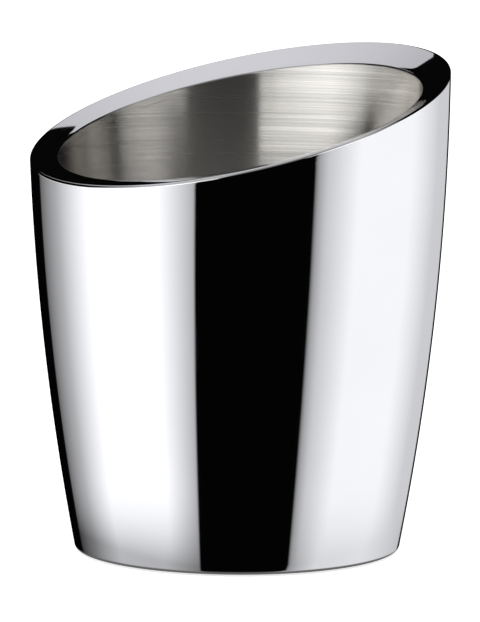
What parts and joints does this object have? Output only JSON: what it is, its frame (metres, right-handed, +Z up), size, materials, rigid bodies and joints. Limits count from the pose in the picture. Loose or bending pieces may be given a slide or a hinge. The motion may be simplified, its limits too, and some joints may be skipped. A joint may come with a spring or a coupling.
{
  "type": "champagne bucket",
  "caption": "Double-walled steel champagne bucket with a broad slanted rim, polished outside and satin brushed inside, standing on its own base.",
  "frame": {"origin": "on the bucket's axis at the resting plane", "axes": "+Z up along the axis, +X towards the high side of the slanted rim, +Y across the slant"},
  "size_m": [0.2097, 0.2104, 0.2527],
  "materials": {
    "polished_steel": "mirror polished stainless steel",
    "satin_steel": "satin stainless steel, brushed in rings",
    "weld_steel": "weld bead as laid",
    "black_rubber": "matt moulded rubber",
    "foam": "closed-cell foam"
  },
  "bodies": {
    "root": {"outer_shell": "polished_steel", "rim_band": "polished_steel", "inner_liner": "satin_steel", "shell_rim_weld": "weld_steel", "liner_rim_weld": "weld_steel", "base_plate": "satin_steel", "base_weld": "weld_steel", "vent_plug": "black_rubber", "liner_pad": "foam", "foot_ring": "black_rubber"}
  },
  "joints": []
}
